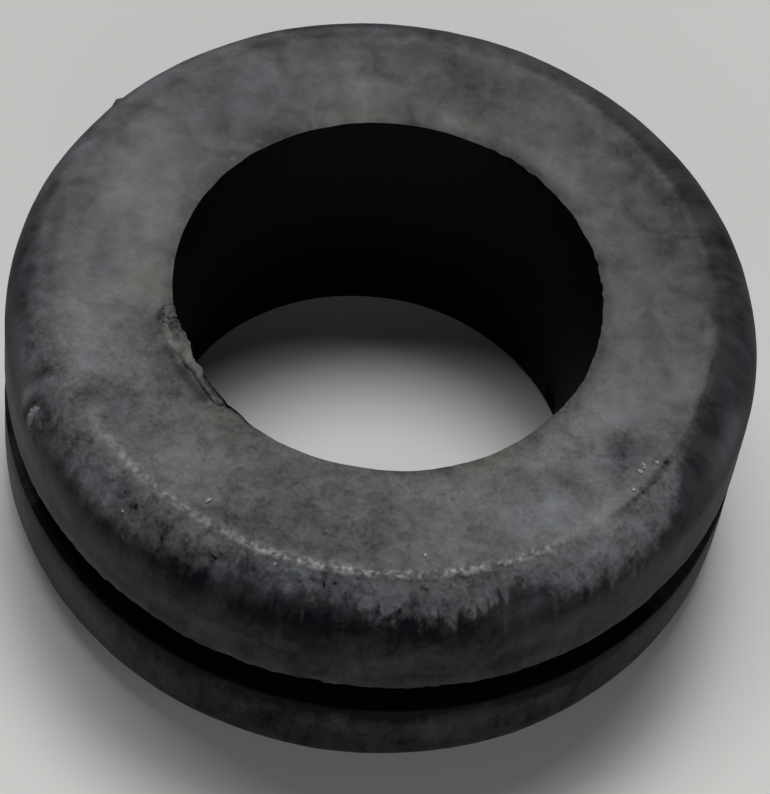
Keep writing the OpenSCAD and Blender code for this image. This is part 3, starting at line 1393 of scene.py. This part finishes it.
@dataclass(frozen=True)
class PlainFinish:
    """A dull finish of one colour, which faint clouds of a darker shade make uneven."""

    name: str
    colour: Colour
    shade: float
    clouds: Clouds
    roughness: float
    sheen_level: float = 0.2

    def material(self) -> bpy.types.Material:
        """Builds the finish: with its clouds, the colour goes from the shade's share of it to the whole.

        Returns:
            The material.
        """
        sheet = NodeSheet(self.name)
        darker = tuple(self.shade * value for value in self.colour[:3]) + (1.0,)
        clouds = sheet.noise(sheet.places(), self.clouds)
        sheet.feed(sheet.shader.inputs["Base Color"], sheet.blend(clouds, darker, self.colour))
        sheet.shader.inputs["Roughness"].default_value = self.roughness
        sheet.shader.inputs["Specular IOR Level"].default_value = self.sheen_level
        return sheet.material


@dataclass(frozen=True)
class DustFinish(PlainFinish):
    """Pale dry dust."""

    name: str = "pale_dust"
    colour: Colour = (0.33, 0.33, 0.32, 1)
    shade: float = 0.5
    clouds: Clouds = Clouds(0.06, spread=(0.3, 0.7))
    roughness: float = 0.9


@dataclass(frozen=True)
class FloorFinish(PlainFinish):
    """Plain pale painted floor."""

    name: str = "plain_floor"
    colour: Colour = (0.568, 0.562, 0.549, 1)
    shade: float = 0.96
    clouds: Clouds = Clouds(9)
    roughness: float = 0.6


# ---------------------------------------------------------------- the moulding


def filled_mesh(name: str, places: np.ndarray, quads: np.ndarray, triangles: np.ndarray) -> bpy.types.Object:
    """Makes a smooth piece from places and the faces between them.

    Args:
        name: Name of the piece.
        places: Places in metres, one in each row.
        quads: Four numbers of places for each face, in rows.
        triangles: Three numbers of places for each face, in rows.

    Returns:
        The new object, linked into the scene.
    """
    corners = np.concatenate([quads.ravel(), triangles.ravel()]).astype(np.int32)
    starts = np.concatenate([np.arange(len(quads)) * 4, quads.size + np.arange(len(triangles)) * 3])
    mesh = bpy.data.meshes.new(name)
    mesh.vertices.add(len(places))
    mesh.vertices.foreach_set("co", places.astype(np.float32).ravel())
    mesh.loops.add(len(corners))
    mesh.loops.foreach_set("vertex_index", corners)
    mesh.polygons.add(len(starts))
    mesh.polygons.foreach_set("loop_start", starts.astype(np.int32))
    mesh.update(calc_edges=True)
    mesh.shade_smooth()
    piece = bpy.data.objects.new(name, mesh)
    bpy.context.scene.collection.objects.link(piece)
    return piece


def ring_mesh(name: str, places: np.ndarray) -> bpy.types.Object:
    """Makes a closed skin from a grid of places, joined end to end both ways.

    Args:
        name: Name of the piece.
        places: Places in metres: rows along the section, columns round the axis.

    Returns:
        The new object, linked into the scene.
    """
    rows, columns = places.shape[:2]
    index = np.arange(rows * columns).reshape(rows, columns)
    next_row = np.roll(index, -1, axis=0)
    next_column = np.roll(index, -1, axis=1)
    corner = np.roll(next_row, -1, axis=1)
    quads = np.stack([index, next_row, corner, next_column], axis=-1).reshape(-1, 4)
    return filled_mesh(name, places.reshape(-1, 3), quads, np.empty((0, 3), int))


def shell_faces(rings: int, around: int, first: int) -> tuple[np.ndarray, np.ndarray]:
    """Faces of a closed shell: fans from its two end points to its rings, and squares between the rings.

    Args:
        rings: Number of rows, with the two that are drawn together to end points.
        around: Number of points in each ring.
        first: Number of the shell's first point.

    Returns:
        The squares and the triangles, as numbers of points.
    """
    index = first + 1 + np.arange((rings - 2) * around).reshape(rings - 2, around)
    onward = np.roll(index, -1, axis=1)
    quads = np.stack([index[:-1], index[1:], onward[1:], onward[:-1]], axis=-1).reshape(-1, 4)
    last = first + 1 + (rings - 2) * around
    start = np.stack([np.full(around, first), index[0], onward[0]], axis=-1)
    end = np.stack([np.full(around, last), onward[-1], index[-1]], axis=-1)
    return quads, np.concatenate([start, end])


@dataclass(frozen=True)
class BoreEdge:
    """The bore's upper edge, worn and torn.

    All round, it stands in over the bore by the inset and sways a little. Where it is torn, it is worn back
    by up to twice the bulge and has nicks. Within lean it stands in further. width and lean_width are how
    far these reach over the face.
    """

    torn: tuple[Sector, ...] = (
        Sector(8, 62, 14),
        Sector(334, 362, 10, rise=0.5),
        Sector(138, 146, 6, rise=0.4),
    )
    bulge: float = 0.03
    nick: float = 0.06
    inset: float = 0.03
    sway: float = 0.01
    width: float = 0.3
    lean: Sector = Sector(214, 234, 6, rise=0.08)
    lean_width: float = 0.2

    def widened(self, skin: Lay) -> np.ndarray:
        """How far each point moves outwards: hill * (torn * (bulge + nicks) + sway - inset) - lean.

        Args:
            skin: Where the points lie on the clean section.

        Returns:
            The outward move of each point, in millimetres.
        """
        flat = skin.places * (1, 1, 0)
        torn = sum(sector.value(skin.angle) for sector in self.torn)
        nicks = self.nick * np.abs(cloud(flat, size=0.42, seed=31, octaves=3))
        bulge = self.bulge * (1 + cloud(flat, size=2.4, seed=37))
        calm = self.sway * cloud(flat, size=0.5, seed=41) - self.inset
        lean = self.lean.value(skin.angle) * hill(skin.along, self.lean_width)
        return hill(skin.along, self.width) * (torn * (bulge + nicks) + calm) - lean


@dataclass(frozen=True)
class GrooveLips:
    """The groove's two lips, which run in a slight uneven wave.

    The upper one hangs down by hang, and front is the share of that in each direction. upper_wave and
    lower_wave are the heights of their waves, and ripple is the share of finer waves on the upper one. bend
    is how far above and below its lip each flange bends, and inset and soft how far inside the rim the
    bending starts and over what width it grows.
    """

    hang: float = 0.22
    front: Sector = Sector(205, 308, 14, rise=0.5, base=0.5)
    upper_wave: float = 0.07
    lower_wave: float = 0.022
    ripple: float = 0.6
    bend: float = 0.25
    inset: float = 0.6
    soft: float = 0.4

    def droop(self, skin: Lay, sizes: GrommetSizes) -> np.ndarray:
        """How far each point hangs down: hill round the lip's height * share inside the rim * its wave.

        Args:
            skin: Where the points lie on the clean section.
            sizes: Sizes of the moulding.

        Returns:
            The downward move of each point, in millimetres.
        """
        from_middle = skin.height - sizes.height / 2
        near = hill(np.abs(from_middle) - sizes.groove_w / 2, self.bend)
        outer = np.clip((skin.radius - sizes.flange_r + self.inset) / self.soft, 0, 1)
        flat = skin.places * (1, 1, 0)
        wave = cloud(flat, size=0.48, seed=53, octaves=3)
        upper = self.upper_wave * (wave + self.ripple * cloud(flat, size=0.2, seed=57))
        upper = self.hang * self.front.value(skin.angle) + upper
        return near * outer * np.where(from_middle > 0, upper, self.lower_wave * wave)


@dataclass
class Moulding:
    """The grommet's one piece: a section carried round the axis, with its marks and its film.

    Its columns lie closer together in the crowded sector, by the crowding, and turn_steps is how finely
    their directions are worked out. broad_dip and fine_dip are the mean depths of the surface's unevenness,
    inside is how far everything stays within the part's box, and flow_r is the radius of the cylinder that
    the streaks in the film are drawn on.
    """

    sizes: GrommetSizes
    section: Section
    rubber: bpy.types.Material
    film: Film = Film()
    flash: Flash = Flash()
    bore_edge: BoreEdge = BoreEdge()
    lips: GrooveLips = GrooveLips()
    columns: int = 780
    crowded: Sector = Sector(190, 232, 8)
    crowding: float = 1.6
    turn_steps: int = 7200
    broad_dip: float = 0.018
    fine_dip: float = 0.007
    inside: float = 0.001
    flow_r: float = 10.0

    def turns(self) -> np.ndarray:
        """Directions of the columns in degrees, closer together where the flash and the nub are.

        Returns:
            The directions, from 0 up to but without 360.
        """
        fine = np.linspace(0, 360, self.turn_steps + 1)
        density = 1 + (self.crowding - 1) * self.crowded.value(fine)
        travelled = np.concatenate([[0], np.cumsum((density[1:] + density[:-1]) / 2)])
        wanted = np.arange(self.columns) / self.columns * travelled[-1]
        return np.interp(wanted, travelled, fine)

    def lay(self) -> Lay:
        """Lays the clean section round the axis: each point of it in the direction of each column.

        Returns:
            Where the points lie.
        """
        angle = np.broadcast_to(self.turns(), (len(self.section.points), self.columns))
        shape = angle.shape
        along = np.broadcast_to(self.section.along[:, None], shape)
        radius = np.broadcast_to(self.section.points[:, :1], shape)
        height = np.broadcast_to(self.section.points[:, 1:], shape)
        return Lay(angle, along, radius, height)

    def lifted(self, skin: Lay) -> np.ndarray:
        """How far each point stands off the clean section, square to it.

        The surface is slightly sunk by clouds of unevenness, never raised, and the marks are added.

        Args:
            skin: Where the points lie on the clean section.

        Returns:
            The lift of each point, in millimetres.
        """
        lift = -self.broad_dip * (1 + cloud(skin.places, size=2.6, seed=3))
        lift = lift - self.fine_dip * (1 + cloud(skin.places, size=0.6, seed=5))
        for mark in MARKS:
            lift = lift + mark.lift(skin)
        for mark in LINES:
            lift = lift + mark.lift * mark.weight(skin)
        return lift

    def kept_inside(self, radius: np.ndarray, height: np.ndarray) -> tuple[np.ndarray, np.ndarray]:
        """Radius and height of each point, held just inside the part's box."""
        highest = CAD_BOX[1].z / MM - self.inside
        return np.minimum(radius, self.sizes.flange_r - self.inside), np.clip(height, self.inside, highest)

    def build(self) -> bpy.types.Object:
        """Builds the skin, gives it what the finish reads, and dresses it.

        Returns:
            The finished piece, riding on the body and standing for the plain solid.
        """
        skin = self.lay()
        turn = np.radians(skin.angle)
        lift = self.lifted(skin)
        normal = self.section.normals[:, None, :]
        radius = skin.radius + lift * normal[..., 0] + self.bore_edge.widened(skin)
        height = skin.height + lift * normal[..., 1] - self.lips.droop(skin, self.sizes)
        radius, height = self.kept_inside(radius, height)
        places = np.stack([radius * np.cos(turn), radius * np.sin(turn), height], axis=-1)
        piece = ring_mesh("moulded_skin", places * MM)
        self.dress(piece, skin)
        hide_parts(NODE)
        return piece

    def build_flash(self) -> bpy.types.Object:
        """Builds the strip of flash and dresses it.

        Returns:
            The finished piece, riding on the body.
        """
        lay, pale = self.flash.lay(self.sizes)
        quads, triangles = shell_faces(self.flash.rings, self.flash.around, 0)
        piece = filled_mesh("flash_strip", lay.places * MM, quads, triangles)
        self.dress(piece, lay, pale)
        return piece

    def build_lumps(
        self, name: str, lumps: tuple[Lump, ...]
    ) -> tuple[bpy.types.Object, Lay, np.ndarray]:
        """Builds a piece of several small lumps, each a closed shell.

        Args:
            name: Name of the piece.
            lumps: The lumps.

        Returns:
            The piece, where its points lie, and what each point adds to the film.
        """
        lays = [lump.lay(self.section) for lump in lumps]
        firsts = np.cumsum([0] + [lay.angle.size for lay in lays])
        faces = [shell_faces(lump.rings, lump.around, first) for lump, first in zip(lumps, firsts)]
        quads, triangles = (np.concatenate(kind) for kind in zip(*faces))
        angle, along, radius, height = (
            np.concatenate([getattr(lay, measure) for lay in lays])
            for measure in ("angle", "along", "radius", "height")
        )
        joined = Lay(angle, along, *self.kept_inside(radius, height))
        pale = np.concatenate([np.full(lay.angle.size, lump.pale) for lump, lay in zip(lumps, lays)])
        return filled_mesh(name, joined.places * MM, quads, triangles), joined, pale

    def build_nubs(self) -> bpy.types.Object:
        """Builds the knob on the flash and the torn nub, and dresses them in the rubber.

        Returns:
            The finished piece, riding on the body.
        """
        piece, lay, pale = self.build_lumps("torn_nubs", NUB_LUMPS)
        self.dress(piece, lay, pale)
        return piece

    def build_specks(self) -> bpy.types.Object:
        """Builds the specks of dust that cling to the face, and dresses them.

        Returns:
            The finished piece, riding on the body.
        """
        piece, _, _ = self.build_lumps("dust_specks", SPECKS)
        piece.data.materials.append(DustFinish().material())
        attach(piece, BODY)
        return piece

    def dress(self, piece: bpy.types.Object, skin: Lay, pale: np.ndarray | float = 0.0) -> None:
        """Stores on a piece what the rubber's finish reads, gives it that finish and lets it ride.

        The flow is each point's place on a cylinder, with its length along the section as the height.

        Args:
            piece: The piece.
            skin: Where its points lie on the moulding.
            pale: What is added to its film at each point.
        """
        turn = np.radians(skin.angle)
        flow = np.stack([self.flow_r * np.cos(turn), self.flow_r * np.sin(turn), skin.along], axis=-1)
        for name, value in self.film.layers(skin, self.sizes, pale).items():
            layer = piece.data.attributes.new(name, "FLOAT", "POINT")
            layer.data.foreach_set("value", value.astype(np.float32).ravel())
        layer = piece.data.attributes.new("flow", "FLOAT_VECTOR", "POINT")
        layer.data.foreach_set("vector", flow.astype(np.float32).ravel())
        piece.data.materials.append(self.rubber)
        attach(piece, BODY)


# ---------------------------------------------------------------- the studio


class LampShape(Enum):
    """Outline of a soft light."""

    ROUND = "ELLIPSE"
    SQUARE = "RECTANGLE"


@dataclass(frozen=True)
class SoftLight:
    """A soft light that faces the grommet, given by where it stands and how large it looks from there.

    turn and height are its direction from the grommet in degrees, half_width and half_height the angles that
    its half sizes cover, distance is in millimetres, and share is the share of the plain level of light that
    it gives. Its shape is weighed at samples by samples places.
    """

    name: str
    shape: LampShape
    turn: float
    height: float
    half_width: float
    half_height: float
    share: float
    distance: float
    samples: int = 41

    def hang(self) -> bpy.types.Object:
        """Hangs the light.

        Its power makes its light on the open floor the stated share of the level at which a colour renders
        as it is written: power = share * pi squared / mean of (distance * height / length to the fourth)
        over the lamp, where length runs from the floor's middle to each place on the lamp.

        Returns:
            The light.
        """
        rise, turn = math.radians(self.height), math.radians(self.turn)
        reach = self.distance * MM
        way = np.array([math.cos(turn) * math.cos(rise), math.sin(turn) * math.cos(rise), math.sin(rise)])
        side = np.array([-math.sin(turn), math.cos(turn), 0])
        wide, high = (math.tan(math.radians(angle)) for angle in (self.half_width, self.half_height))
        steps = np.linspace(-1, 1, self.samples)
        across, up = np.meshgrid(steps, steps)
        lit = (across**2 + up**2 <= 1) | (self.shape is LampShape.SQUARE)
        u, v = across[lit][:, None] * wide, up[lit][:, None] * high
        places = reach * (way + u * side + v * np.cross(way, side))
        reached = np.mean(reach * places[:, 2] / np.sum(places**2, axis=1) ** 2)
        lamp = bpy.data.lights.new(self.name, "AREA")
        lamp.shape = self.shape.value
        lamp.size = 2 * reach * wide
        lamp.size_y = 2 * reach * high
        lamp.energy = self.share * math.pi**2 / reached
        light = bpy.data.objects.new(self.name, lamp)
        facing = Matrix((side, np.cross(way, side), way)).transposed()
        light.matrix_world = Matrix.Translation(Vector(way) * reach) @ facing.to_4x4()
        light.visible_camera = False
        bpy.context.scene.collection.objects.link(light)
        return light


@dataclass
class Studio:
    """Plain pale floor, two soft lights behind and above, a weak one in front, and the camera.

    The camera's height is an angle in degrees above the upper face, and its distance is in millimetres. Its
    yaw, pitch and roll turn it from there in degrees, and its lens is a focal length in millimetres.
    """

    sizes: GrommetSizes
    floor: FloorFinish = FloorFinish()
    floor_r: float = 900.0
    floor_corners: int = 64
    surround: float = 0.035
    surround_colour: Colour = (0.98, 0.99, 1.0, 1)
    lights: tuple[SoftLight, ...] = (
        SoftLight(
            "back_right_light", LampShape.ROUND, turn=85.8, height=68.4, half_width=9.7, half_height=11.9,
            share=0.42, distance=1500.0),
        SoftLight(
            "back_left_light", LampShape.ROUND, turn=118.0, height=67.8, half_width=16.3, half_height=10.3,
            share=0.42, distance=1500.0),
        SoftLight(
            "front_light", LampShape.SQUARE, turn=281.0, height=27.4, half_width=50.7, half_height=20.9,
            share=0.13, distance=170.0),
    )
    camera_height: float = 53.24
    camera_distance: float = 104.06
    camera_yaw: float = -0.2
    camera_pitch: float = -1.72
    camera_roll: float = -8.32
    lens: float = 160.2
    nearest: float = 5.0

    def lay_floor(self) -> bpy.types.Object:
        """Lays a round flat floor under the grommet: one face with its corners on a circle.

        Returns:
            The floor.
        """
        turn = np.linspace(0, 2 * math.pi, self.floor_corners, endpoint=False)
        places = np.stack([np.cos(turn), np.sin(turn), 0 * turn], axis=-1) * self.floor_r * MM
        mesh = bpy.data.meshes.new("studio_floor")
        mesh.from_pydata(places.tolist(), [], [tuple(range(self.floor_corners))])
        mesh.materials.append(self.floor.material())
        floor = bpy.data.objects.new("studio_floor", mesh)
        bpy.context.scene.collection.objects.link(floor)
        return floor

    def light(self) -> None:
        """Hangs the soft lights and sets the even surround."""
        for light in self.lights:
            light.hang()
        world = bpy.data.worlds.new("even_surround")
        world.use_nodes = True
        background = world.node_tree.nodes["Background"]
        background.inputs["Color"].default_value = self.surround_colour
        background.inputs["Strength"].default_value = self.surround
        bpy.context.scene.world = world

    def set_camera(self) -> None:
        """Sets the camera.

        It starts in front of the upper face's centre, raised by its height angle and looking at that
        centre. Then it is turned by small angles about its own up, right and forward directions.
        """
        centre = Vector((0, 0, self.sizes.height * MM))
        rise = math.radians(self.camera_height)
        forward = Vector((0, math.cos(rise), -math.sin(rise)))
        right = Vector((1, 0, 0))
        up = right.cross(forward)
        place = centre - forward * self.camera_distance * MM
        ways = [right, up, forward]
        for angle, about in ((self.camera_yaw, 1), (self.camera_pitch, 0), (self.camera_roll, 2)):
            turn = Matrix.Rotation(math.radians(angle), 3, ways[about])
            ways = [turn @ way for way in ways]
        right, up, forward = ways
        camera = bpy.data.cameras.new("camera")
        camera.lens = self.lens
        camera.clip_start = self.nearest * MM
        view = bpy.data.objects.new("camera", camera)
        view.matrix_world = Matrix.Translation(place) @ Matrix((right, up, -forward)).transposed().to_4x4()
        bpy.context.scene.collection.objects.link(view)
        bpy.context.scene.camera = view
        bpy.context.scene.view_settings.view_transform = "Standard"


def main() -> None:
    """Builds the grommet and its studio, and reports each piece."""
    logging.basicConfig(level=logging.INFO, format="%(message)s")
    sizes = GrommetSizes.from_frame()
    studio = Studio(sizes)
    studio.set_camera()
    moulding = Moulding(sizes, Section(sizes), RubberFinish().material())
    for build in (moulding.build, moulding.build_flash, moulding.build_nubs, moulding.build_specks):
        piece = build()
        log.info("%s: %d points, %d faces", piece.name, len(piece.data.vertices), len(piece.data.polygons))
    floor = studio.lay_floor()
    studio.light()
    log.info("%s: %.0f mm across", floor.name, 2 * studio.floor_r)


if __name__ == "__main__":
    main()
